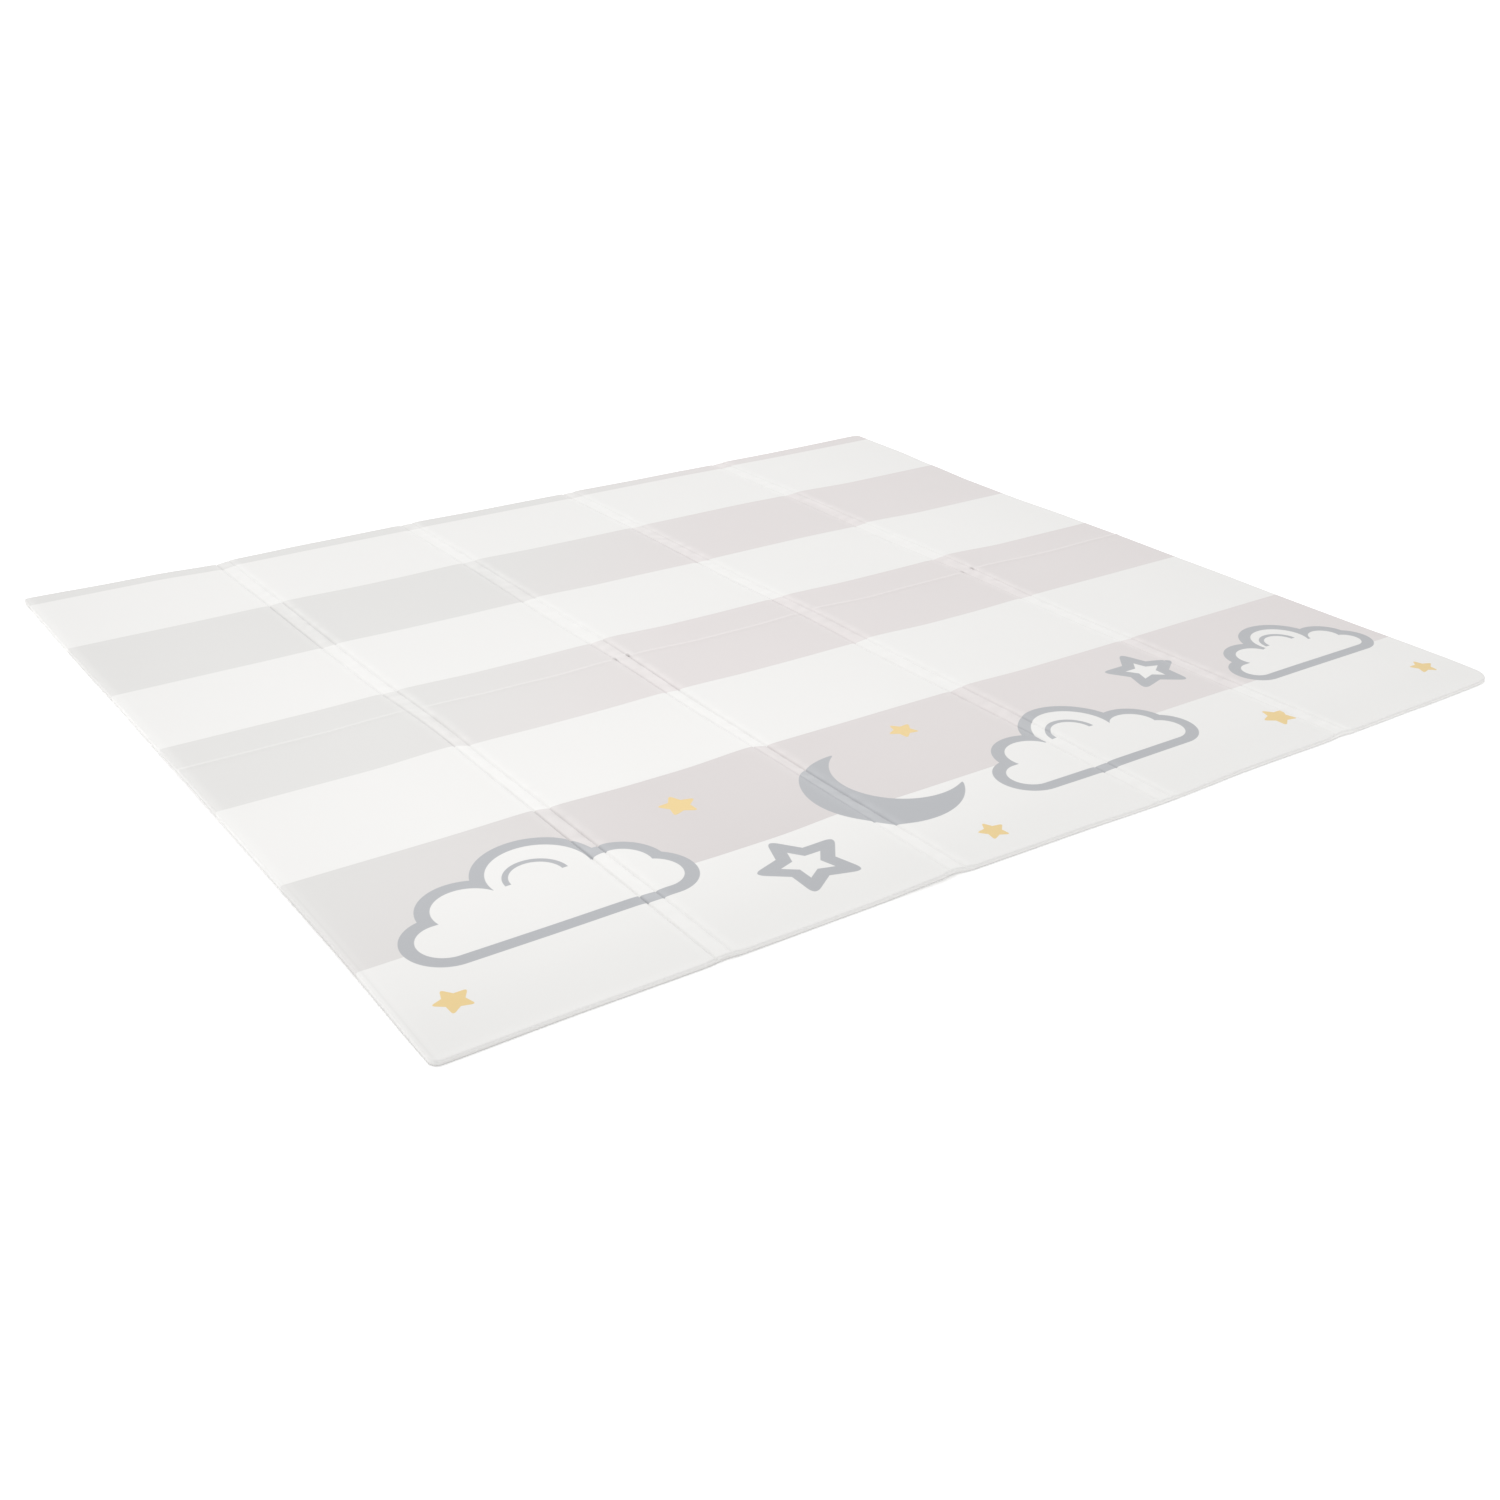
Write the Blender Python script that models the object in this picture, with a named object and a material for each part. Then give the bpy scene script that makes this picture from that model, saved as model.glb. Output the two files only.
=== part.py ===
"""A fold-up foam play mat, lying open: one sheet of foam with fold channels pressed into it.

X runs along the printed stripes, Y from the front edge to the back edge, and Z up from the floor.
The origin is on the floor, under the middle of the mat. All lengths are in metres.
"""
from collections import namedtuple

import bmesh
import bpy
from mathutils import Matrix, Vector

# The sheet
LENGTH = 2.000
WIDTH = 1.800
THICKNESS = 0.010
THINNEST = 0.0022
SEAT = 0.0004
CORNER_STEPS = 5
Corner = namedtuple("Corner", "along across radius")
CORNERS = [
    Corner(along=-1, across=-1, radius=0.013),
    Corner(along=1, across=-1, radius=0.040),
    Corner(along=-1, across=1, radius=0.007),
    Corner(along=1, across=1, radius=0.014),
]

# The rim: its edges are rounded
RIM_RADIUS = 0.0022
RIM_STEPS = 2

# Five equal panels along the mat, parted by four pressed channels
PANELS = 5
PANEL_LENGTH = LENGTH / PANELS
FOLD_XS = [PANEL_LENGTH * k - LENGTH / 2 for k in range(1, PANELS)]
GROOVE_OFFSET = 0.013

# Half of a channel's profile, from the raised strip in its middle out to the panel's face
ProfilePoint = namedtuple("ProfilePoint", "away depth")
CHANNEL_PROFILE = [
    ProfilePoint(away=0.0000, depth=0.0012),
    ProfilePoint(away=0.0108, depth=0.0015),
    ProfilePoint(away=GROOVE_OFFSET, depth=0.0016),
    ProfilePoint(away=0.0152, depth=0.0009),
    ProfilePoint(away=0.0220, depth=0.0003),
    ProfilePoint(away=0.0330, depth=0.0000),
]
CHANNEL_HALF_WIDTH = CHANNEL_PROFILE[-1].away

# The crease along the middle of the mat is a fine ridge
CREASE_Y = -0.0040
CREASE_PROFILE = [
    ProfilePoint(away=0.0000, depth=-0.0009),
    ProfilePoint(away=0.0040, depth=-0.0005),
    ProfilePoint(away=0.0090, depth=0.0000),
]
CREASE_HUMP = 0.0032
CREASE_HUMP_REACH = 0.30

# Where the crease crosses the second and the fourth channel, the film is split at both grooves
SPLIT_FOLDS = (FOLD_XS[1], FOLD_XS[3])
SPLIT_DEPTH = 0.0012

# How high the sheet stands on each side of a fold, and how deep the groove on that side is, in
# millimetres, at six places spaced evenly from the front edge to the back edge
MILLIMETRE = 0.001
FoldSide = namedtuple("FoldSide", "lifts grooves")
FOLD_SIDES = {
    (0, "left"): FoldSide(lifts=(0.5, 6.0, 9.0, 3.2, 1.0, -4.0), grooves=(2.2, 2.8, 2.3, 1.3, 1.1, 1.0)),
    (0, "right"): FoldSide(lifts=(1.0, 4.0, 2.6, 4.3, 3.8, -0.6), grooves=(0.9, 1.6, 1.0, 1.5, 1.2, 0.6)),
    (1, "left"): FoldSide(lifts=(3.2, 7.0, 3.0, 2.0, 4.0, 0.0), grooves=(0.9, 1.6, 2.3, 1.0, 1.4, 0.6)),
    (1, "right"): FoldSide(lifts=(0.7, 0.0, 1.8, 6.3, 5.0, 0.8), grooves=(0.9, 1.8, 2.3, 1.0, 1.1, 0.6)),
    (2, "left"): FoldSide(lifts=(-1.5, 0.0, 0.0, 2.4, 2.6, -0.6), grooves=(0.9, 1.4, 1.5, 0.8, 0.9, 0.9)),
    (2, "right"): FoldSide(lifts=(-1.5, 3.2, 3.6, 3.0, 2.8, 0.6), grooves=(0.8, 1.2, 1.0, 0.6, 0.6, 0.5)),
    (3, "left"): FoldSide(lifts=(0.0, 0.3, 0.6, 1.4, 1.8, -0.6), grooves=(0.6, 0.7, 0.6, 0.7, 0.7, 0.5)),
    (3, "right"): FoldSide(lifts=(0.0, 0.0, 0.6, 5.5, 4.2, 1.2), grooves=(0.7, 0.8, 0.7, 0.6, 0.6, 0.5)),
}

# How high the middle of each panel stands there, and how much more it stands beside the crease
Panel = namedtuple("Panel", "lifts hump")
PANEL_LIFTS = [
    Panel(lifts=(0.0, 4.5, 4.6, 2.6, 0.0, 0.0), hump=2.5),
    Panel(lifts=(0.0, 0.8, 1.8, 2.4, 1.6, 0.0), hump=1.3),
    Panel(lifts=(0.0, 0.0, 0.2, 3.6, 2.6, 0.0), hump=0.6),
    Panel(lifts=(0.0, 0.0, 0.0, 3.4, 3.4, 0.5), hump=0.0),
    Panel(lifts=(0.0, 0.8, 2.0, 1.2, 0.0, 0.0), hump=0.6),
]
LIFT_REACH = 0.150

# How far each fold lies from its even place, in millimetres, at the same six places
FOLD_SHIFTS = [
    (9.0, 4.0, -0.5, -9.5, -9.0, -9.0),
    (-1.0, -6.0, -6.0, -5.0, -3.0, -2.0),
    (-3.0, -2.0, -6.0, -10.0, -9.0, -8.0),
    (-2.0, -4.0, -10.0, -12.0, -8.0, -8.0),
]
FOLD_SHIFT_REACH = 0.120

# The outline isn't quite straight
BACK_LEFT_FLARE = 0.0060
BACK_LEFT_REACH = 0.12
FRONT_TUCK = 0.0085
FRONT_TUCK_REACH = 0.30
FRONT_BULGE = 0.0035
FRONT_BULGE_PLACE = 0.17
FRONT_BULGE_REACH = 0.20
NOTCH_DEPTHS = (0.0025, 0.0035, 0.0000, 0.0025)
NOTCH_REACH = 0.030
CORNER_FLARE = 0.0040
CORNER_FLARE_REACH = 0.40
RIGHT_WAIST = 0.0050
RIGHT_WAIST_PLACE = 0.35
RIGHT_WAIST_REACH = 0.35
OUTLINE_BAND = 0.080

# How finely the sheet is cut up: shares of the reach beside each fold, and steps from front to back
LIFT_CUTS = (0.30, 0.65, 1.00)
HALF_WIDTH_STEPS = 10
CUT_TOLERANCE = 1e-6

FILM_COLOUR = (0.86, 0.85, 0.84, 1.0)
FILM_ROUGHNESS = 0.6


def ease(share):
    """A soft step from 0 to 1."""
    share = min(max(share, 0.0), 1.0)
    return share * share * (3 - 2 * share)


def fade(distance, reach):
    """1 at no distance, and softly down to 0 at the reach."""
    return 1 - ease(abs(distance) / reach)


def depth_on(profile, away):
    """The depth of a pressed profile at this distance from its middle line."""
    away = abs(away)
    for inner, outer in zip(profile, profile[1:]):
        if away <= outer.away:
            share = (away - inner.away) / (outer.away - inner.away)
            return inner.depth + (outer.depth - inner.depth) * share
    return 0.0


def along_fold(values, y):
    """A value at y, in metres, eased between its six places."""
    place = (y + WIDTH / 2) / WIDTH * (len(values) - 1)
    before = min(max(int(place), 0), len(values) - 2)
    share = ease(place - before)
    return MILLIMETRE * (values[before] * (1 - share) + values[before + 1] * share)


def nearest_fold(x):
    """The number of the fold nearest to x, and how far to the right of it x is."""
    fold = min(range(len(FOLD_XS)), key=lambda k: abs(x - FOLD_XS[k]))
    return fold, x - FOLD_XS[fold]


def lift_at(x, y):
    """How far the folds and the middle crease hold the sheet up from its lie on the floor."""
    panel = PANEL_LIFTS[min(max(int((x + LENGTH / 2) / PANEL_LENGTH), 0), PANELS - 1)]
    hump = fade(y, CREASE_HUMP_REACH)
    middle = along_fold(panel.lifts, y) + panel.hump * MILLIMETRE * hump
    fold, away = nearest_fold(x)
    left = along_fold(FOLD_SIDES[fold, "left"].lifts, y)
    right = along_fold(FOLD_SIDES[fold, "right"].lifts, y)
    share = min(max((away + GROOVE_OFFSET) / (2 * GROOVE_OFFSET), 0.0), 1.0)
    beside = left * (1 - share) + right * share + CREASE_HUMP * hump
    near = fade(max(abs(away) - GROOVE_OFFSET, 0.0), LIFT_REACH)
    return middle * (1 - near) + beside * near


def pressed_depth(x, y):
    """How far the channels and the splits press the face down, less the crease's ridge."""
    fold, away = nearest_fold(x)
    depth = depth_on(CHANNEL_PROFILE, away)
    depth += depth_on(CREASE_PROFILE, y - CREASE_Y) * ease(abs(away) / CHANNEL_HALF_WIDTH)
    if abs(abs(away) - GROOVE_OFFSET) < CUT_TOLERANCE:
        depth += along_fold(FOLD_SIDES[fold, "left" if away < 0 else "right"].grooves, y)
        if FOLD_XS[fold] in SPLIT_FOLDS and abs(y - CREASE_Y) < CREASE_PROFILE[1].away + CUT_TOLERANCE:
            depth += SPLIT_DEPTH
    return depth


def fold_shift(x, y):
    """How far a point beside a fold moves along the mat, because the folds aren't quite straight."""
    fold, away = nearest_fold(x)
    return along_fold(FOLD_SHIFTS[fold], y) * fade(away, FOLD_SHIFT_REACH)


def outline_shift(x, y):
    """How far a point near the edge moves, so that the outline is as uneven as a real one."""
    near_side = ease(1 - (LENGTH / 2 - abs(x)) / OUTLINE_BAND)
    near_end = ease(1 - (WIDTH / 2 - abs(y)) / OUTLINE_BAND)
    side = 0.0
    end = 0.0
    if x < 0:
        side -= CORNER_FLARE * fade(y + WIDTH / 2, CORNER_FLARE_REACH)
        end += BACK_LEFT_FLARE * fade(x + LENGTH / 2, BACK_LEFT_REACH) * (y > 0)
    else:
        side += CORNER_FLARE * fade(y - WIDTH / 2, CORNER_FLARE_REACH)
        side -= RIGHT_WAIST * fade(y - RIGHT_WAIST_PLACE, RIGHT_WAIST_REACH)
    if y < 0:
        end += sum(depth * fade(x - fold_x, NOTCH_REACH) for fold_x, depth in zip(FOLD_XS, NOTCH_DEPTHS))
        end += FRONT_TUCK * fade(x - LENGTH / 2, FRONT_TUCK_REACH)
        end -= FRONT_BULGE * fade(x - FRONT_BULGE_PLACE, FRONT_BULGE_REACH)
    return Vector((side * near_side, end * near_end, 0.0))


def is_flat(face):
    """Whether a face of the plain slab lies level."""
    return abs(face.normal.z) > 0.99


def make_slab():
    """A flat slab with rounded corners and a rounded rim."""
    slab = bmesh.new()
    size = Matrix.Diagonal((LENGTH, WIDTH, THICKNESS, 1.0))
    stand = Matrix.Translation((0.0, 0.0, THICKNESS / 2))
    bmesh.ops.create_cube(slab, size=1.0, matrix=stand @ size)
    for corner in CORNERS:
        place = Vector((corner.along * LENGTH / 2, corner.across * WIDTH / 2, THICKNESS / 2))
        upright = min(slab.edges, key=lambda e: ((e.verts[0].co + e.verts[1].co) / 2 - place).length)
        bmesh.ops.bevel(slab, geom=[upright], offset=corner.radius, offset_type="OFFSET",
                        segments=CORNER_STEPS, profile=0.5, affect="EDGES", material=-1)
    slab.normal_update()
    rims = [e for e in slab.edges if sum(is_flat(f) for f in e.link_faces) == 1]
    bmesh.ops.bevel(slab, geom=rims, offset=RIM_RADIUS, offset_type="OFFSET",
                    segments=RIM_STEPS, profile=0.5, affect="EDGES", material=-1)
    return slab


def cut_lines():
    """The places, along and across the mat, where its faces are cut so that they can bend."""
    along = []
    for fold_x in FOLD_XS:
        for point in CHANNEL_PROFILE:
            along += [fold_x - point.away, fold_x + point.away]
        for share in LIFT_CUTS:
            away = GROOVE_OFFSET + LIFT_REACH * share
            along += [fold_x - away, fold_x + away]
    across = []
    for point in CREASE_PROFILE:
        across += [CREASE_Y - point.away, CREASE_Y + point.away]
    for k in range(HALF_WIDTH_STEPS):
        place = (k + 0.5) * WIDTH / 2 / HALF_WIDTH_STEPS
        across += [-place, place]
    return sorted(set(along)), sorted(set(across))


def cut_slab(slab):
    """Cut the slab's faces along every line, which leaves it one closed body."""
    along, across = cut_lines()
    planes = [(Vector((x, 0, 0)), Vector((1, 0, 0))) for x in along]
    planes += [(Vector((0, y, 0)), Vector((0, 1, 0))) for y in across]
    for place, direction in planes:
        everything = slab.verts[:] + slab.edges[:] + slab.faces[:]
        bmesh.ops.bisect_plane(slab, geom=everything, dist=CUT_TOLERANCE,
                               plane_co=place, plane_no=direction)


def press_and_bend(slab):
    """Press the channels into the slab, and give it the uneven lie of a mat that was folded."""
    for vert in slab.verts:
        x, y, z = vert.co
        lift = lift_at(x, y)
        under = max(lift - SEAT, 0.0)
        top = max(THICKNESS + lift - pressed_depth(x, y), under + THINNEST)
        vert.co.z = under + (top - under) * z / THICKNESS
        vert.co += outline_shift(x, y)
        vert.co.x += fold_shift(x, y)


def make_film_material():
    """The pale matt film over the foam."""
    material = bpy.data.materials.new("film")
    material.use_nodes = True
    shader = material.node_tree.nodes["Principled BSDF"]
    shader.inputs["Base Color"].default_value = FILM_COLOUR
    shader.inputs["Roughness"].default_value = FILM_ROUGHNESS
    shader.inputs["Metallic"].default_value = 0.0
    return material


def make_mat():
    """The whole mat, as one object."""
    slab = make_slab()
    cut_slab(slab)
    press_and_bend(slab)
    bmesh.ops.triangulate(slab, faces=slab.faces[:])
    mesh = bpy.data.meshes.new("mat")
    slab.to_mesh(mesh)
    slab.free()
    mesh.materials.append(make_film_material())
    mesh.shade_smooth()
    mat = bpy.data.objects.new("mat", mesh)
    bpy.context.scene.collection.objects.link(mat)


for old in list(bpy.data.objects):
    bpy.data.objects.remove(old)
make_mat()
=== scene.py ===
"""A fold-up foam play mat, lying open on a pale studio floor."""
import math
from collections import namedtuple

import bmesh
import bpy
from mathutils import Matrix, Vector, noise


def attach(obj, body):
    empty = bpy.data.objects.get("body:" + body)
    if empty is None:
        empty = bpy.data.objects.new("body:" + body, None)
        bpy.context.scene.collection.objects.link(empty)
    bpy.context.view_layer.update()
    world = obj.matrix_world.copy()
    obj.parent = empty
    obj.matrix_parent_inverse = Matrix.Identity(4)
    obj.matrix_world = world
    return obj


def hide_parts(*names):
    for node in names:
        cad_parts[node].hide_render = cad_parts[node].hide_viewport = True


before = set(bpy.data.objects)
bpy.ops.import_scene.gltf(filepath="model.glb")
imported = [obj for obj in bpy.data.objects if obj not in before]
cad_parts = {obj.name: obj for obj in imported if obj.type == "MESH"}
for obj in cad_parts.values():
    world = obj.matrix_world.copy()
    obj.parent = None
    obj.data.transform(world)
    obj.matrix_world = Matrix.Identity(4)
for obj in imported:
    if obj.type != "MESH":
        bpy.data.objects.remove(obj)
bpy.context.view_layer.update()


# The foam sheet
# One sheet of soft foam, 10 mm thick, with a printed film on it. Hot bars have pressed four
# double channels into it. It also folds at a fine ridge along its middle, and so into ten panels.
# Its rim is pressed round, and it lies as unevenly as a mat does that has been folded.
LENGTH = 2.000
WIDTH = 1.800
THICKNESS = 0.010
THINNEST = 0.0022
SEAT = 0.0004
MILLIMETRE = 0.001

CORNER_RADII = {("left", "front"): 0.013, ("right", "front"): 0.040,
                ("left", "back"): 0.007, ("right", "back"): 0.014}
RIM_RADIUS = 0.0026
RIM_FOOT_RADIUS = 0.0008
RIM_RINGS = 6
FRONT_THINNER = {"left": 0.0022, "right": 0.0034}
FRONT_THINNER_REACH = 0.120

# The film's marks near the rim: it is paler beside the near rims, partly stretched and partly a
# painted highlight, with a thin line of painted shade along the left one. The rim's side has
# painted shade, darker than the face, and a painted highlight where its shade is below 0.
RIM_STRETCH = 0.022
RIM_STRETCH_FADE = 1.2
RIM_LINE = 0.0065
RIM_LINE_WIDTH = 0.0016
RIM_LINE_END = -0.35
RIM_LINE_FADE = 0.15
RIM_SHOULDER_SHADE = 0.30
RIM_FRONT_CHANGE = 1.6
RIM_FRONT_PALEST = -0.35
RIM_LEFT_SHADE = 0.75
RIM_LEFT_PALEST = -0.60
RIM_LEFT_FADE = 0.60

PANELS = 5
PANEL_LENGTH = LENGTH / PANELS
FOLD_XS = [PANEL_LENGTH * k - LENGTH / 2 for k in range(1, PANELS)]
GROOVE_OFFSET = 0.013
GROOVE_WIDTH = 0.0014
FULL_LINE_DEPTH = 0.0025
STRIP_DEPTH = 0.0016
STRIP_CROWN = 0.0004
SHOULDER = 0.020
# How much of the painted highlight each shoulder of a channel gets: the right ones face the light
SHOULDER_HIGHLIGHT = {"left": 0.4, "right": 1.2}
LINE_WIDTH = 0.0010

CREASE_Y = -0.0040
CREASE_RIDGE = 0.0009
CREASE_WIDTH = 0.0045
CREASE_LINE_OFFSET = 0.0030
CREASE_LINE_WIDTH = 0.0035
CREASE_HUMP = 0.0032
CREASE_HUMP_REACH = 0.30
CREASE_WRINKLES = 0.6
CREASE_WRINKLES_REACH = 0.020

# How high the sheet stands on each side of a fold and in the middle of each panel, and how deep
# the groove on that side is, all in millimetres at six places spaced evenly from front to back
FoldSide = namedtuple("FoldSide", "lifts grooves")
FOLD_SIDES = {
    (0, "left"): FoldSide(lifts=(0.5, 6.0, 9.0, 3.2, 1.0, -4.0), grooves=(2.2, 2.8, 2.3, 1.3, 2.0, 1.4)),
    (0, "right"): FoldSide(lifts=(1.0, 4.0, 2.6, 4.3, 3.8, -0.6), grooves=(0.9, 1.6, 1.0, 1.5, 1.6, 0.8)),
    (1, "left"): FoldSide(lifts=(3.2, 7.0, 3.0, 2.0, 4.0, 0.0), grooves=(0.9, 1.6, 2.3, 1.0, 1.4, 0.6)),
    (1, "right"): FoldSide(lifts=(0.7, 0.0, 1.8, 6.3, 5.0, 0.8), grooves=(0.9, 1.8, 2.3, 1.0, 1.1, 0.6)),
    (2, "left"): FoldSide(lifts=(-1.5, 0.0, 0.0, 2.4, 2.6, -0.6), grooves=(0.9, 1.4, 1.5, 1.9, 1.8, 1.3)),
    (2, "right"): FoldSide(lifts=(-1.5, 3.2, 3.6, 3.0, 2.8, 0.6), grooves=(0.8, 1.2, 1.0, 0.6, 0.6, 0.5)),
    (3, "left"): FoldSide(lifts=(0.0, 0.3, 0.6, 1.4, 1.8, -0.6), grooves=(0.6, 0.7, 0.6, 0.7, 0.7, 0.5)),
    (3, "right"): FoldSide(lifts=(0.0, 0.0, 0.6, 5.5, 4.2, 1.2), grooves=(0.7, 0.8, 0.7, 0.6, 0.6, 0.5)),
}
Panel = namedtuple("Panel", "lifts hump")
PANEL_LIFTS = [
    Panel(lifts=(0.0, 4.5, 4.6, 2.6, 0.0, 0.0), hump=2.5),
    Panel(lifts=(0.0, 0.8, 1.8, 2.4, 1.6, 0.0), hump=1.3),
    Panel(lifts=(0.0, 0.0, 0.2, 3.6, 2.6, 0.0), hump=0.6),
    Panel(lifts=(0.0, 0.0, 0.0, 3.4, 3.4, 0.5), hump=0.0),
    Panel(lifts=(0.0, 0.8, 2.0, 1.2, 0.0, 0.0), hump=0.6),
]

# How far each fold moves along the mat, in millimetres at the same six places
FOLD_SHIFTS = [(9.0, 4.0, 1.5, -8.0, -9.0, -9.0), (-1.0, -6.0, -6.0, -5.0, -3.0, -2.0),
               (-3.0, -2.0, -6.0, -10.0, -9.0, -8.0), (-2.0, -4.0, -10.0, -12.0, -8.0, -8.0)]
FOLD_SHIFT_REACH = 0.120
LIFT_REACH = 0.150
WRINKLE_STRETCH = 0.9

# The sheet's small unevenness: how large each kind is, how quickly it changes from left to right
# and from front to back, and its own layer of the noise. The size of a groove's is a share of it.
Wave = namedtuple("Wave", "size along across layer")
WAVES = {
    "face": Wave(size=0.00025, along=7, across=7, layer=1),
    "groove line": Wave(size=0.0006, along=2, across=9, layer=3),
    "groove depth": Wave(size=0.35, along=9, across=30, layer=7),
    "wrinkles": Wave(size=0.00045, along=45, across=60, layer=5),
    "crease line": Wave(size=0.0030, along=8, across=2, layer=6),
    "sides": Wave(size=0.0008, along=4, across=4, layer=0),
    "ends": Wave(size=0.0008, along=4, across=4, layer=9),
}

# Where the crease crosses the second and the fourth channel, the film is split at both grooves
SPLIT_FOLDS = (1, 3)
SPLIT_DEPTH = 0.0042
SPLIT_HALF_LENGTH = 0.0052
SPLIT_HALF_WIDTH = 0.0021
SPLIT_SPREAD = 0.8
LIP_HEIGHT = 0.0014
LIP_RING = 1.7
LIP_SPREAD = 0.5

# How far each side stands out from the straight outline, in millimetres at places spaced evenly
# from left to right or from front to back, and how deep the folds notch the front
SIDE_SHIFTS = {
    "front": (0.6, -2.2, -1.6, -2.4, -4.2, -2.3, 1.8, -3.4, -2.2, -5.0, -8.7),
    "back": (2.3, -5.0, -5.0, -2.0, 0.0, -3.2, -2.9, -7.2, -5.5, -3.8, 0.8),
    "left": (1.8, -0.6, -1.4, -1.3, -2.4, -0.6, -1.8),
    "right": (3.0, -1.3, -4.4, -5.2, -4.2, -6.0, -4.5, -4.5, -8.5, -6.5, 2.0, 11.0, 13.0),
}
NOTCH_DEPTHS = (0.0025, 0.0035, 0.0000, 0.0025)
NOTCH_REACH = 0.030
OUTLINE_BAND = 0.080

# How far apart the mesh's lines are, and the shares of the pale band beside the rim that get a line
FINE_STEP = 0.0010
STEP_GROWTH = 0.20
COARSE_STEP_ALONG = 0.0165
COARSE_STEP_ACROSS = 0.0080
UNDERSIDE_STEP = 0.0160
TINY_STEP = 1e-6
STRETCH_LINES = (0.55, 0.8)


def ease(share):
    """A soft step from 0 to 1."""
    share = min(max(share, 0.0), 1.0)
    return share * share * (3 - 2 * share)


def fade(distance, reach):
    """1 at no distance, and softly down to 0 at the reach."""
    return 1 - ease(abs(distance) / reach)


def bell(distance, width):
    """1 at no distance, and down to nearly 0 at twice the width."""
    return math.exp(-((distance / width) ** 2))


def wave(kind, x, y):
    """The unevenness of one kind at a point."""
    row = WAVES[kind]
    return row.size * noise.noise(Vector((x * row.along, y * row.across, row.layer)))


def share_from_left(x):
    """How far right a point lies: 0 at the left edge and 1 at the right one."""
    return x / LENGTH + 0.5


def share_from_front(y):
    """How far back a point lies: 0 at the front edge and 1 at the back one."""
    return y / WIDTH + 0.5


def nearest_fold(x):
    """The number of the channel that a point is nearest to."""
    return min(range(len(FOLD_XS)), key=lambda k: abs(x - FOLD_XS[k]))


def spaced(values, share):
    """A value in metres at a share of the way along, eased between its evenly spaced places."""
    place = share * (len(values) - 1)
    before = min(max(int(place), 0), len(values) - 2)
    after_share = ease(place - before)
    return MILLIMETRE * (values[before] * (1 - after_share) + values[before + 1] * after_share)


def along_fold(values, y):
    """A value of a fold or a panel at y, in metres."""
    return spaced(values, share_from_front(y))


def lift_at(x, y):
    """How far the folds and the middle crease hold the sheet up from its lie on the floor."""
    panel = PANEL_LIFTS[min(max(int((x + LENGTH / 2) / PANEL_LENGTH), 0), PANELS - 1)]
    hump = fade(y, CREASE_HUMP_REACH)
    middle = along_fold(panel.lifts, y) + panel.hump * MILLIMETRE * hump
    fold = nearest_fold(x)
    away = x - FOLD_XS[fold]
    left = along_fold(FOLD_SIDES[fold, "left"].lifts, y)
    right = along_fold(FOLD_SIDES[fold, "right"].lifts, y)
    share = min(max((away + GROOVE_OFFSET) / (2 * GROOVE_OFFSET), 0.0), 1.0)
    beside = left * (1 - share) + right * share + CREASE_HUMP * hump
    near = fade(max(abs(away) - GROOVE_OFFSET, 0.0), LIFT_REACH)
    return middle * (1 - near) + beside * near


def edge_reach(x, y):
    """How far a point is past the straight edges' ends, and the radius of the corner near it."""
    radius = CORNER_RADII["left" if x < 0 else "right", "front" if y < 0 else "back"]
    return abs(x) - (LENGTH / 2 - radius), abs(y) - (WIDTH / 2 - radius), radius


def distance_inside(x, y):
    """The distance from a point in the mat's plan to its nearest edge, round the corners too."""
    reach_x, reach_y, radius = edge_reach(x, y)
    if reach_x > 0 and reach_y > 0:
        return radius - math.hypot(reach_x, reach_y)
    return min(LENGTH / 2 - abs(x), WIDTH / 2 - abs(y))


def rim_marks(x, y):
    """How pale the film is beside the near rims, partly stretched and partly a painted highlight, and how
    dark the left one's thin line of painted shade is.
    """
    from_left = x + LENGTH / 2
    front = fade(y + WIDTH / 2, RIM_STRETCH) * fade(from_left, RIM_STRETCH_FADE)
    # A thin line of painted shade along the left rim, where the film is pinched
    line = bell(from_left - RIM_LINE, RIM_LINE_WIDTH) * ease((RIM_LINE_END - y) / RIM_LINE_FADE)
    return max(fade(from_left, RIM_STRETCH), front), line


def painted_rim_shade(x, y):
    """How much painted shade the rim's side gets: most at the front left, and below 0 where a painted
    highlight makes it paler.
    """
    near_front = fade(y + WIDTH / 2, RIM_STRETCH)
    front = max(1 - RIM_FRONT_CHANGE * share_from_left(x), RIM_FRONT_PALEST)
    left = RIM_LEFT_PALEST + (RIM_LEFT_SHADE - RIM_LEFT_PALEST) * ease(-y / RIM_LEFT_FADE)
    return front * near_front + left * fade(x + LENGTH / 2, RIM_STRETCH) * (1 - near_front)


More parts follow.
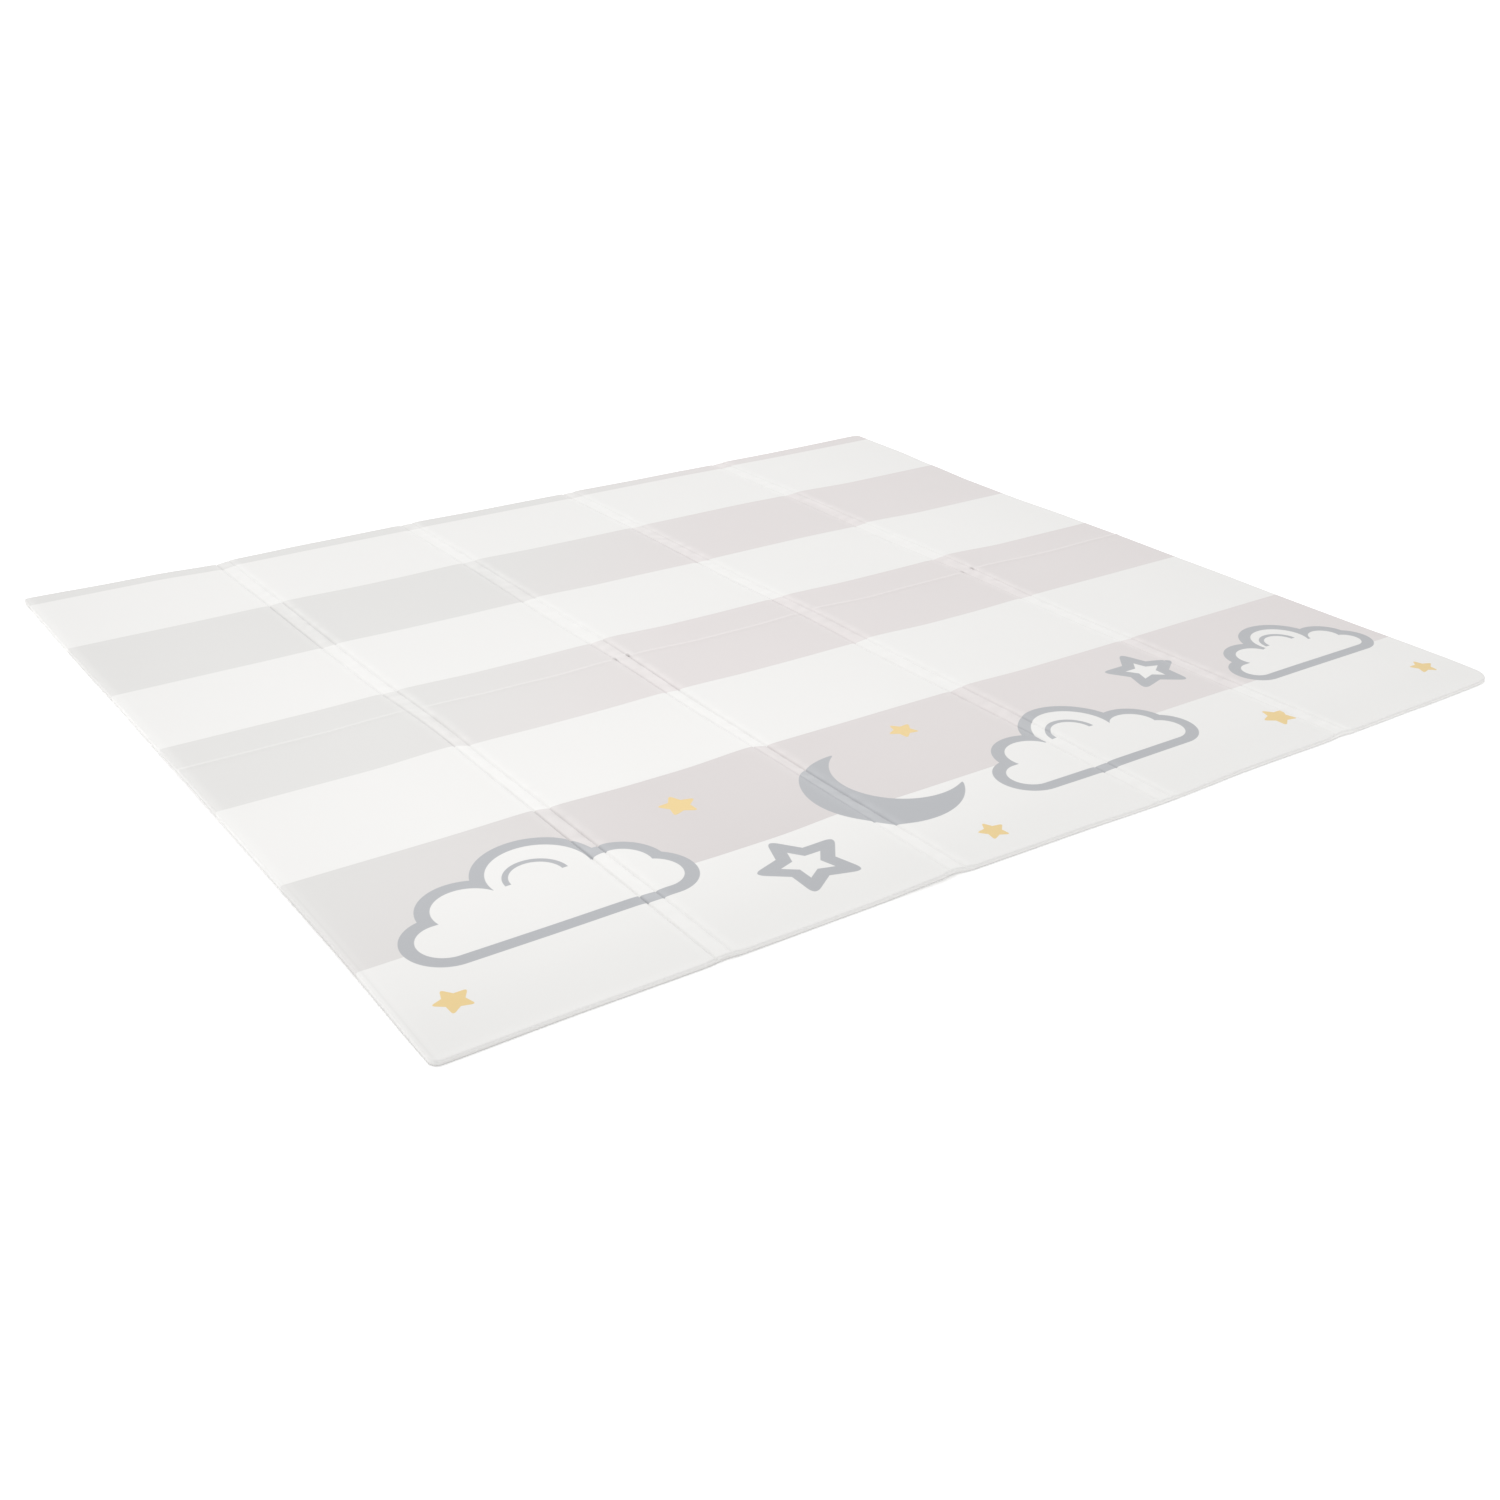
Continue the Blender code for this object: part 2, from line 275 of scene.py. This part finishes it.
def press(x, y):
    """How far the bars press the face down, and the film's marks there, with painted light and shade among
    them.
    """
    fold = nearest_fold(x)
    away = x - FOLD_XS[fold] + wave("groove line", x, y)
    side = "left" if away < 0 else "right"
    to_groove = abs(away) - GROOVE_OFFSET
    groove = along_fold(FOLD_SIDES[fold, side].grooves, y)
    groove *= 1 + wave("groove depth", away + fold / WAVES["groove depth"].along, y)
    channel = fade(max(to_groove, 0.0), SHOULDER)
    if to_groove <= 0:
        depth = STRIP_DEPTH - STRIP_CROWN * (1 - (away / GROOVE_OFFSET) ** 2)
    else:
        share = min(to_groove / SHOULDER, 1.0)
        depth = STRIP_DEPTH * (1 - math.sqrt(1 - (1 - share) ** 2))
    depth += groove * bell(to_groove, GROOVE_WIDTH)
    # A line of painted shade along the groove, darker where the groove is deeper
    line = groove / FULL_LINE_DEPTH * bell(to_groove, LINE_WIDTH)

    beside_fold = ease(to_groove / SHOULDER)
    crease_y = y - CREASE_Y + wave("crease line", x, y)
    depth -= CREASE_RIDGE * bell(crease_y, CREASE_WIDTH) * beside_fold
    # A paler line along the crease's back flank: stretched film with a painted highlight
    crease_stretch_and_highlight = bell(crease_y - CREASE_LINE_OFFSET, CREASE_LINE_WIDTH) * beside_fold
    wrinkle = wave("wrinkles", x, y)
    depth += wrinkle * max(channel, CREASE_WRINKLES * bell(y, CREASE_WRINKLES_REACH))
    thinner = FRONT_THINNER["left"] + (FRONT_THINNER["right"] - FRONT_THINNER["left"]) * share_from_left(x)
    depth += thinner * fade(y + WIDTH / 2, FRONT_THINNER_REACH) * beside_fold

    split = 0.0
    if fold in SPLIT_FOLDS:
        ring = math.hypot(to_groove / SPLIT_HALF_WIDTH, y / SPLIT_HALF_LENGTH)
        split = bell(ring, SPLIT_SPREAD)
        depth += SPLIT_DEPTH * split - LIP_HEIGHT * bell(ring - LIP_RING, LIP_SPREAD)

    stretch_and_highlight, rim_line_shade = rim_marks(x, y)
    channel *= 1 - WRINKLE_STRETCH * wrinkle / WAVES["wrinkles"].size
    # On the shoulders the paleness is a painted highlight, strongest on the right ones, which face the
    # light
    if to_groove > 0:
        channel *= SHOULDER_HIGHLIGHT[side]
    return depth, {"stretch_and_highlight": max(channel, stretch_and_highlight), "groove": line, "crease_stretch_and_highlight": crease_stretch_and_highlight, "split": split,
                   "rim_line_shade": rim_line_shade}


def rounding(inside):
    """How far the rim's round edge falls short of the full height: 1 at the very edge, 0 inside."""
    share = min(max(inside / RIM_RADIUS, 0.0), 1.0)
    return 1 - math.sqrt(1 - (1 - share) ** 2)


def fold_shift(x, y):
    """How far a point beside a fold moves along the mat, because the folds aren't quite straight."""
    fold = nearest_fold(x)
    return along_fold(FOLD_SHIFTS[fold], y) * fade(x - FOLD_XS[fold], FOLD_SHIFT_REACH)


def outline_shift(x, y):
    """How far a point near the edge moves, so that the outline is as uneven as a real one."""
    near_side = ease(1 - (LENGTH / 2 - abs(x)) / OUTLINE_BAND)
    near_end = ease(1 - (WIDTH / 2 - abs(y)) / OUTLINE_BAND)
    outwards_x = math.copysign(1, x)
    outwards_y = math.copysign(1, y)
    side = outwards_x * spaced(SIDE_SHIFTS["left" if x < 0 else "right"], share_from_front(y))
    side += wave("sides", outwards_x, y)
    end = outwards_y * spaced(SIDE_SHIFTS["front" if y < 0 else "back"], share_from_left(x))
    end += wave("ends", x, outwards_y)
    if y < 0:
        end += sum(depth * fade(x - fold_x, NOTCH_REACH) for fold_x, depth in zip(FOLD_XS, NOTCH_DEPTHS))
    return Vector((side * near_side, end * near_end, 0.0))


def places(half, features, coarse_step):
    """Places from -half to half for the mesh's lines: close at the rim and at the features."""
    rim = [RIM_RADIUS * (1 - math.cos(math.pi / 2 * k / RIM_RINGS)) for k in range(RIM_RINGS + 1)]
    rim += [RIM_LINE, RIM_LINE + RIM_LINE_WIDTH]
    rim += [RIM_STRETCH * share for share in STRETCH_LINES]
    found = [inside - half for inside in rim]
    last = half - rim[-1]
    while found[-1] < last:
        near = min(abs(found[-1] + FINE_STEP / 2 - feature) for feature in features)
        step = min(coarse_step, FINE_STEP + STEP_GROWTH * near)
        reach = found[-1] + 2 * step
        coming = [feature for feature in features if found[-1] < feature - TINY_STEP <= reach]
        if coming:
            step = min(step, max(FINE_STEP, (coming[0] - found[-1]) / 2))
        found.append(found[-1] + step)
    found = [place for place in found if place < last - FINE_STEP]
    return found + [half - inside for inside in reversed(rim)]


def round_corner(x, y):
    """Bring a point of the square-cornered grid to its place in the rounded corner."""
    reach_x, reach_y, radius = edge_reach(x, y)
    if reach_x <= 0 or reach_y <= 0:
        return x, y
    shrink = max(reach_x, reach_y) / math.hypot(reach_x, reach_y)
    return (math.copysign(LENGTH / 2 - radius + reach_x * shrink, x),
            math.copysign(WIDTH / 2 - radius + reach_y * shrink, y))


def thinned(lines):
    """The numbers of the lines that the plain underside keeps."""
    kept = [0]
    for number, line in enumerate(lines):
        if line - lines[kept[-1]] > UNDERSIDE_STEP:
            kept.append(number)
    return set(kept)


grooves = [fold_x + side * GROOVE_OFFSET for fold_x in FOLD_XS for side in (-1, 1)]
along = places(LENGTH / 2, grooves, COARSE_STEP_ALONG)
across = places(WIDTH / 2, [0.0], COARSE_STEP_ACROSS)

sheet = bmesh.new()
column = sheet.verts.layers.int.new("column")
row = sheet.verts.layers.int.new("row")
on_face = sheet.verts.layers.int.new("on_face")
# The marks that change the film's colour; most of them are painted light and shade
MARKS = ("stretch_and_highlight", "groove", "crease_stretch_and_highlight", "split", "rim_line_shade", "rim_side_painted_shade")
mark_layers = {name: sheet.verts.layers.float.new(name) for name in MARKS}
bmesh.ops.create_grid(sheet, x_segments=len(along) - 1, y_segments=len(across) - 1, size=0.5)
for vert in sheet.verts:
    vert[column] = round((vert.co.x + 0.5) * (len(along) - 1))
    vert[row] = round((vert.co.y + 0.5) * (len(across) - 1))
    vert.co.x, vert.co.y = round_corner(along[vert[column]], across[vert[row]])

grown = bmesh.ops.extrude_face_region(sheet, geom=sheet.faces[:])
for item in grown["geom"]:
    if isinstance(item, bmesh.types.BMVert):
        item[on_face] = 1
spare = []
for layer, lines in ((column, along), (row, across)):
    dropped = set(range(1, len(lines) - 1)) - thinned(lines)
    spare += [edge for edge in sheet.edges
              if not any(vert[on_face] for vert in edge.verts)
              and edge.verts[0][layer] == edge.verts[1][layer]
              and edge.verts[0][layer] in dropped]
bmesh.ops.dissolve_edges(sheet, edges=spare, use_verts=True)

for vert in sheet.verts:
    x, y, _ = vert.co
    lift = lift_at(x, y)
    under = max(lift - SEAT, 0.0)
    depth, marks = press(x, y)
    top = max(THICKNESS + lift - depth, under + THINNEST)
    top += wave("face", x, y)
    edge = rounding(distance_inside(x, y))
    rim_drop = min(RIM_RADIUS, (top - under) / 2)
    vert.co.z = top - rim_drop * edge if vert[on_face] else under + RIM_FOOT_RADIUS * edge
    vert.co += outline_shift(x, y)
    vert.co.x += fold_shift(x, y)
    # Painted shade on the rim's side, less on its rounded top; below 0 it is a painted highlight
    marks["rim_side_painted_shade"] = edge * painted_rim_shade(x, y) * (RIM_SHOULDER_SHADE if vert[on_face] else 1.0)
    for name in MARKS:
        vert[mark_layers[name]] = marks[name]
for face in sheet.faces:
    face.material_index = 0 if any(vert[on_face] for vert in face.verts) else 1
for layer in (column, row, on_face):
    sheet.verts.layers.int.remove(layer)
bmesh.ops.recalc_face_normals(sheet, faces=sheet.faces[:])

# The print keeps its own map: the face fills it, its rim is folded out, and the underside is
# squeezed into a strip below it
MAP_MARGIN = 0.05
MAP_SCALE = 1 / (LENGTH + MAP_MARGIN)
MAP_UNDERSIDE = 0.05
chart = sheet.loops.layers.uv.new("OFBake")
for face in sheet.faces:
    for loop in face.loops:
        x, y, z = loop.vert.co
        if face.material_index == 1:
            loop[chart].uv = (0.5 + x * MAP_SCALE, MAP_UNDERSIDE * (0.5 + y / LENGTH))
            continue
        reach_x, reach_y, radius = edge_reach(x, y)
        outwards = Vector((math.copysign(max(reach_x, 0.0), x), math.copysign(max(reach_y, 0.0), y)))
        near_rim = distance_inside(x, y) < RIM_RADIUS
        fold_out = outwards.normalized() * max(THICKNESS - z, 0.0) * near_rim
        loop[chart].uv = (0.5 + (x + fold_out.x) * MAP_SCALE,
                          1 - 0.5 * (WIDTH + MAP_MARGIN) * MAP_SCALE + (y + fold_out.y) * MAP_SCALE)

mesh = bpy.data.meshes.new("foam_sheet")
sheet.to_mesh(mesh)
sheet.free()
mesh.shade_smooth()
mat = bpy.data.objects.new("foam_sheet", mesh)
bpy.context.scene.collection.objects.link(mat)
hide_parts("mat")
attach(mat, "root")


# The printed film
# A matt film with the print on it lies over the foam. Wide pale grey stripes run along the mat,
# and clouds, a moon and stars stand in a row near its front edge. The film is paler where the
# hot bars have stretched it, and painted light and shade on it stand in for the light on its
# channels, crease, rim and ends.
class Shade:
    """A value in a material's nodes. Sums of values add Math nodes."""

    def __init__(self, tree, socket=None):
        self.tree = tree
        self.socket = socket

    def node(self, kind, settings, inputs, output=0):
        """Add a node of any kind: its settings come first, then its sockets' values or links."""
        made = self.tree.nodes.new(kind)
        for name, value in settings.items():
            setattr(made, name, value)
        for name, value in inputs.items():
            if isinstance(value, Shade):
                self.tree.links.new(value.socket, made.inputs[name])
            else:
                made.inputs[name].default_value = value
        return Shade(self.tree, made.outputs[output])

    def maths(self, operation, *values, clamp=False):
        """Add a Math node."""
        settings = {"operation": operation, "use_clamp": clamp}
        return self.node("ShaderNodeMath", settings, dict(enumerate(values)))

    def feed(self, socket):
        """Link this value to a shader's socket."""
        self.tree.links.new(self.socket, socket)

    def __add__(self, other):
        return self.maths("ADD", self, other)

    def __sub__(self, other):
        return self.maths("SUBTRACT", self, other)

    def __rsub__(self, other):
        return self.maths("SUBTRACT", other, self)

    def __mul__(self, other):
        return self.maths("MULTIPLY", self, other)

    def __neg__(self):
        return self.maths("MULTIPLY", self, -1.0)


def lowest(values):
    """The lowest of several values."""
    found = values[0]
    for value in values[1:]:
        found = found.maths("MINIMUM", found, value)
    return found


def highest(values):
    """The highest of several values."""
    found = values[0]
    for value in values[1:]:
        found = found.maths("MAXIMUM", found, value)
    return found


def clamped(value):
    """A value held between 0 and 1."""
    return value.maths("ADD", value, 0.0, clamp=True)


def mixed(share, under, over):
    """One colour over another, as far as the share says."""
    return share.node("ShaderNodeMix", {"data_type": "RGBA"}, {0: share, 6: under, 7: over}, output=2)


STRIPE_PITCH = 0.256
FIRST_STRIPE = 0.0435
PRINT_SOFTNESS = 0.0008
WHITE = (0.815, 0.808, 0.793, 1.0)
STRIPE_GREY_LEFT = (0.708, 0.700, 0.686, 1.0)
STRIPE_GREY_RIGHT = (0.710, 0.670, 0.664, 1.0)
PINKER_FROM = -0.60
PINKER_SPREAD = 0.50
PINKER_SLANT = 0.80

# The front stripe is printed a little darker than the others, most of all left of its middle
FRONT_STRIPE_FROM = -0.38
FRONT_STRIPE_FADE = 0.04
FRONT_STRIPE_DARKER = 0.080
DARKEST_AT = -0.42
DARKER_REACH = 0.80

MOTIF_GREY = (0.430, 0.440, 0.460, 1.0)
STAR_YELLOW = (0.800, 0.600, 0.270, 1.0)

film = bpy.data.materials.new("printed_film")
film.use_nodes = True
shader = film.node_tree.nodes["Principled BSDF"]
start = Shade(film.node_tree)
place = start.node("ShaderNodeTexCoord", {}, {}, output=3)
flat_place = place.node("ShaderNodeVectorMath", {"operation": "MULTIPLY"}, {0: place, 1: (1, 1, 0)})
x_place = place.node("ShaderNodeSeparateXYZ", {}, {"Vector": place}, output=0)
y_place = place.node("ShaderNodeSeparateXYZ", {}, {"Vector": place}, output=1)


def filled(distance):
    """1 inside a printed shape, where its distance is below 0, and 0 outside."""
    return distance.maths("MULTIPLY_ADD", distance, -1 / PRINT_SOFTNESS, 0.5, clamp=True)


def disc(x, y, radius):
    """The distance outside a disc."""
    points = {0: flat_place, 1: (x, y, 0)}
    return place.node("ShaderNodeVectorMath", {"operation": "DISTANCE"}, points, output=1) - radius


def bar(x, y, half_length, radius):
    """The distance outside a level bar with round ends."""
    beside = x_place - x
    past_end = beside.maths("ABSOLUTE", beside) - half_length
    past_end = past_end.maths("MAXIMUM", past_end, 0.0)
    offset = place.node("ShaderNodeCombineXYZ", {}, {0: past_end, 1: y_place - y})
    return place.node("ShaderNodeVectorMath", {"operation": "LENGTH"}, {0: offset}, output=1) - radius


Cloud = namedtuple("Cloud", "x y width")
CLOUDS = [Cloud(-0.715, -0.630, 0.44), Cloud(0.225, -0.690, 0.40), Cloud(0.800, -0.615, 0.33)]

# A cloud's parts, in shares of its width: how far across and up from its middle, and their radius
Puff = namedtuple("Puff", "across up radius")
PUFFS = [Puff(-0.22, 0.02, 0.17), Puff(0.06, 0.10, 0.22), Puff(0.30, 0.00, 0.15)]
FILLERS = [Puff(-0.09, 0.00, 0.13), Puff(0.20, -0.04, 0.13)]
BASE = Puff(0.36, -0.10, 0.14)
CURL = Puff(0.04, 0.08, 0.10)
BORDER = 0.021
CURL_STROKE = 0.0045


def cloud(row):
    """The distance outside a cloud: a level bar with three puffs on it, and fillers between them."""
    base = bar(row.x, row.y + BASE.up * row.width, BASE.across * row.width, BASE.radius * row.width)
    puffs = [disc(row.x + puff.across * row.width, row.y + puff.up * row.width, puff.radius * row.width)
             for puff in PUFFS + FILLERS]
    return lowest([base] + puffs)


def curl(row):
    """The distance outside the short arc that is drawn inside a cloud."""
    middle_y = row.y + CURL.up * row.width
    ring = disc(row.x + CURL.across * row.width, middle_y, CURL.radius * row.width)
    return highest([ring.maths("ABSOLUTE", ring) - CURL_STROKE, middle_y - y_place])


Star = namedtuple("Star", "x y radius turn")
OUTLINED_STARS = [Star(-0.365, -0.765, 0.085, 8.0), Star(0.520, -0.545, 0.080, -10.0)]
SMALL_STARS = [Star(-0.925, -0.800, 0.030, 10.0), Star(-0.420, -0.520, 0.034, -6.0),
               Star(0.020, -0.500, 0.028, 14.0), Star(-0.085, -0.835, 0.026, 0.0),
               Star(0.560, -0.800, 0.032, 12.0), Star(0.930, -0.800, 0.026, -12.0)]
STAR_POINTS = 5
STAR_WAIST = 0.52
STAR_TIP = 0.90
STAR_ROUNDING = 0.14


def star(row):
    """The distance outside a star with soft points, worked out on half of one of its points."""
    half_point = math.pi / STAR_POINTS
    across = x_place - row.x
    up = y_place - row.y
    angle = across.maths("ARCTAN2", up, across) + (half_point - math.pi / 2 - math.radians(row.turn))
    folded = angle.maths("FLOORED_MODULO", angle, 2 * half_point) - half_point
    middle = disc(row.x, row.y, 0.0)
    along_point = middle * folded.maths("COSINE", folded)
    beside_point = middle * folded.maths("ABSOLUTE", folded.maths("SINE", folded))
    waist = Vector((math.cos(half_point), math.sin(half_point))) * row.radius * STAR_WAIST
    edge = waist - Vector((row.radius, 0.0))
    outwards = Vector((edge.y, -edge.x)).normalized()
    side = (along_point - row.radius) * outwards.x + beside_point * outwards.y
    return side.maths("SMOOTH_MAX", side, middle - row.radius * STAR_TIP, row.radius * STAR_ROUNDING)


Disc = namedtuple("Disc", "x y radius")
MOON = Disc(-0.130, -0.635, 0.125)
MOON_BAY = Disc(-0.072, -0.600, 0.105)
HORN_ROUNDING = 0.008
moon = disc(*MOON)
moon = moon.maths("SMOOTH_MAX", moon, -disc(*MOON_BAY), HORN_ROUNDING)

from_first = WIDTH / 2 - FIRST_STRIPE + STRIPE_PITCH * 2 - y_place
cycle = from_first.maths("FLOORED_MODULO", from_first, STRIPE_PITCH * 2) - STRIPE_PITCH * 1.5
stripe = filled(cycle.maths("ABSOLUTE", cycle) - STRIPE_PITCH / 2)
outlined = lowest([cloud(row) for row in CLOUDS] + [star(row) for row in OUTLINED_STARS])
motif = filled(lowest([outlined, moon]))
inner = filled(outlined + BORDER) * (1.0 - filled(lowest([curl(row) for row in CLOUDS])))
small_star = filled(lowest([star(row) for row in SMALL_STARS]))

pinker = (x_place - y_place * PINKER_SLANT - PINKER_FROM) * (1 / PINKER_SPREAD)
stripe_grey = mixed(clamped(pinker), STRIPE_GREY_LEFT, STRIPE_GREY_RIGHT)
in_front = (FRONT_STRIPE_FROM - y_place) * (1 / FRONT_STRIPE_FADE)
from_darkest = x_place - DARKEST_AT
near_darkest = 1.0 - from_darkest.maths("ABSOLUTE", from_darkest) * (1 / DARKER_REACH)
stripe_shade = 1.0 - clamped(in_front) * clamped(near_darkest) * FRONT_STRIPE_DARKER
stripe_grey = place.node("ShaderNodeVectorMath", {"operation": "SCALE"}, {0: stripe_grey, 3: stripe_shade})
print_colour = mixed(stripe, WHITE, stripe_grey)
print_colour = mixed(motif, print_colour, MOTIF_GREY)
print_colour = mixed(inner, print_colour, WHITE)
print_colour = mixed(small_star, print_colour, STAR_YELLOW)
ink = highest([stripe, motif]) * (1.0 - inner)

# How the film's colour changes: it is paler where it is stretched and where a highlight is painted on
# the channels' shoulders and the crease, has painted shade in the grooves, along the left rim's line,
# on the rim's side and towards the mat's left and right ends, and is darker in the splits
STRETCH_AND_HIGHLIGHT_WHITE = 0.022
STRETCH_AND_HIGHLIGHT_INK = 0.060
CREASE_STRETCH_AND_HIGHLIGHT = 0.050
GROOVE_SHADE_WHITE = 0.01
GROOVE_SHADE_INK = 0.20
RIM_LINE_SHADE = 0.06
RIM_SIDE_PAINTED_SHADE = 0.16
SPLIT_DARKER = 0.60
END_PAINTED_SHADE = 0.022
END_REACH = 0.25
MOTTLE = 0.012
MOTTLE_SCALE = 5.0
GRAIN_SCALE = 320.0
GRAIN_DEPTH = 0.00006
FILM_ROUGHNESS = 0.50
ROUGHNESS_SPREAD = 0.10
STRETCH_SMOOTHER = 0.10


def mark(name):
    """One of the marks of the pressing, which the mesh holds at its points."""
    return start.node("ShaderNodeAttribute", {"attribute_name": name}, {}, output=2)


def grain(tree_start, coordinates, scale):
    """An even noise between about 0 and 1."""
    inputs = {"Vector": coordinates, "Scale": scale, "Detail": 2.0, "Roughness": 0.55}
    return tree_start.node("ShaderNodeTexNoise", {}, inputs)


# Paler where the film is stretched, and where a highlight is painted on the shoulders and the crease
stretch_and_highlight_strength = ink * (STRETCH_AND_HIGHLIGHT_INK - STRETCH_AND_HIGHLIGHT_WHITE) + STRETCH_AND_HIGHLIGHT_WHITE
paler_and_highlighted = mark("stretch_and_highlight") * stretch_and_highlight_strength + mark("crease_stretch_and_highlight") * CREASE_STRETCH_AND_HIGHLIGHT + 1.0
# Painted shade in the grooves, stronger in the ink, and along the left rim's thin line
groove_shade_strength = ink * (GROOVE_SHADE_INK - GROOVE_SHADE_WHITE) + GROOVE_SHADE_WHITE
painted_shade = 1.0 - mark("groove") * groove_shade_strength - mark("rim_line_shade") * RIM_LINE_SHADE
# Painted shade on the rim's side, and a painted highlight where its mark is below 0
painted_shade = painted_shade - mark("rim_side_painted_shade") * RIM_SIDE_PAINTED_SHADE
split_shade = 1.0 - mark("split") * SPLIT_DARKER
mottle = (grain(start, place, MOTTLE_SCALE) - 0.5) * MOTTLE + 1.0
# Painted shade towards the mat's left and right ends
from_middle = x_place.maths("ABSOLUTE", x_place)
near_end = (from_middle - (LENGTH / 2 - END_REACH)) * (1 / END_REACH)
end_shade = 1.0 - clamped(near_end) * END_PAINTED_SHADE
film_shade = paler_and_highlighted * painted_shade * split_shade * end_shade * mottle
film_colour = place.node("ShaderNodeVectorMath", {"operation": "SCALE"}, {0: print_colour, 3: film_shade})
film_colour.feed(shader.inputs["Base Color"])
fine_grain = grain(start, place, GRAIN_SCALE)
roughness = (fine_grain - 0.5) * ROUGHNESS_SPREAD + FILM_ROUGHNESS - mark("stretch_and_highlight") * STRETCH_SMOOTHER
roughness.feed(shader.inputs["Roughness"])
fine_grain.node("ShaderNodeBump", {}, {"Height": fine_grain, "Distance": GRAIN_DEPTH}).feed(
    shader.inputs["Normal"])
mesh.materials.append(film)

# The underside's film has no print on it
UNDERSIDE_WHITE = (0.700, 0.688, 0.668, 1.0)
plain = bpy.data.materials.new("plain_film")
plain.use_nodes = True
plain_shader = plain.node_tree.nodes["Principled BSDF"]
plain_start = Shade(plain.node_tree)
plain_place = plain_start.node("ShaderNodeTexCoord", {}, {}, output=3)
plain_mottle = (grain(plain_start, plain_place, MOTTLE_SCALE) - 0.5) * MOTTLE * 2 + 1.0
plain_start.node("ShaderNodeVectorMath", {"operation": "SCALE"},
                 {0: UNDERSIDE_WHITE[:3], 3: plain_mottle}).feed(plain_shader.inputs["Base Color"])
plain_grain = grain(plain_start, plain_place, GRAIN_SCALE)
((plain_grain - 0.5) * ROUGHNESS_SPREAD + FILM_ROUGHNESS).feed(plain_shader.inputs["Roughness"])
plain_start.node("ShaderNodeBump", {}, {"Height": plain_grain, "Distance": GRAIN_DEPTH}).feed(
    plain_shader.inputs["Normal"])
mesh.materials.append(plain)


# The studio
# A plain pale floor that is lit evenly, a white surround that is dimmer towards the front, and
# one soft light low over the left.
FLOOR_HALF = 30.0
FLOOR_GLOW = 0.24
PAPER_WHITE = (0.94, 0.94, 0.94, 1.0)
PAPER_ROUGHNESS = 0.9
SURROUND_STRENGTH = 1.295
SURROUND_DIMMER = 0.46
LIGHT_PLACE = (-0.88, -0.26, 1.13)
LIGHT_TARGET = (-0.95, 1.55, 0.0)
LIGHT_SIDE = 2.0
LIGHT_POWER = 2.9

floor_grid = bmesh.new()
bmesh.ops.create_grid(floor_grid, x_segments=1, y_segments=1, size=FLOOR_HALF)
floor_mesh = bpy.data.meshes.new("studio_floor")
floor_grid.to_mesh(floor_mesh)
floor_grid.free()
floor = bpy.data.objects.new("studio_floor", floor_mesh)
bpy.context.scene.collection.objects.link(floor)
paper = bpy.data.materials.new("studio_paper")
paper.use_nodes = True
paper_shader = paper.node_tree.nodes["Principled BSDF"]
paper_shader.inputs["Base Color"].default_value = PAPER_WHITE
paper_shader.inputs["Roughness"].default_value = PAPER_ROUGHNESS
paper_shader.inputs["Emission Color"].default_value = (1.0, 1.0, 1.0, 1.0)
paper_shader.inputs["Emission Strength"].default_value = FLOOR_GLOW
floor_mesh.materials.append(paper)

world = bpy.data.worlds.new("studio_surround")
world.use_nodes = True
world.node_tree.nodes["Background"].inputs["Color"].default_value = (1.0, 1.0, 1.0, 1.0)
surround = Shade(world.node_tree)
direction = surround.node("ShaderNodeTexCoord", {}, {}, output=0)
backwards = surround.node("ShaderNodeSeparateXYZ", {}, {"Vector": direction}, output=1)
strength = (backwards * 0.5 - 0.5) * (SURROUND_STRENGTH * SURROUND_DIMMER) + SURROUND_STRENGTH
strength.feed(world.node_tree.nodes["Background"].inputs["Strength"])
bpy.context.scene.world = world
bpy.context.scene.view_settings.view_transform = "Standard"

lamp_data = bpy.data.lights.new("soft_light", "AREA")
lamp_data.shape = "SQUARE"
lamp_data.size = LIGHT_SIDE
lamp_data.energy = LIGHT_POWER
lamp = bpy.data.objects.new("soft_light", lamp_data)
lamp.visible_camera = False
lamp.location = LIGHT_PLACE
lamp.rotation_euler = (Vector(LIGHT_TARGET) - Vector(LIGHT_PLACE)).to_track_quat("-Z", "Y").to_euler()
bpy.context.scene.collection.objects.link(lamp)


# The camera
# It stands at the photograph's place, near the mat's front left corner, and looks across it.
IMAGE_SIDE = 1500
FOCAL_PIXELS = 1791.9
SENSOR = 36.0
CAMERA_PLACE = (-1.673, -2.504, 1.234)
HEADING = math.radians(-33.24)
PITCH = math.radians(64.23)
ROLL = math.radians(-0.31)
SHIFT_X = 0.030
camera_data = bpy.data.cameras.new("camera")
camera_data.sensor_width = SENSOR
camera_data.lens = FOCAL_PIXELS / IMAGE_SIDE * SENSOR
camera_data.shift_x = SHIFT_X
camera = bpy.data.objects.new("camera", camera_data)
camera.matrix_world = (Matrix.Translation(CAMERA_PLACE) @ Matrix.Rotation(HEADING, 4, "Z")
                       @ Matrix.Rotation(PITCH, 4, "X") @ Matrix.Rotation(ROLL, 4, "Z"))
bpy.context.scene.collection.objects.link(camera)
bpy.context.scene.camera = camera
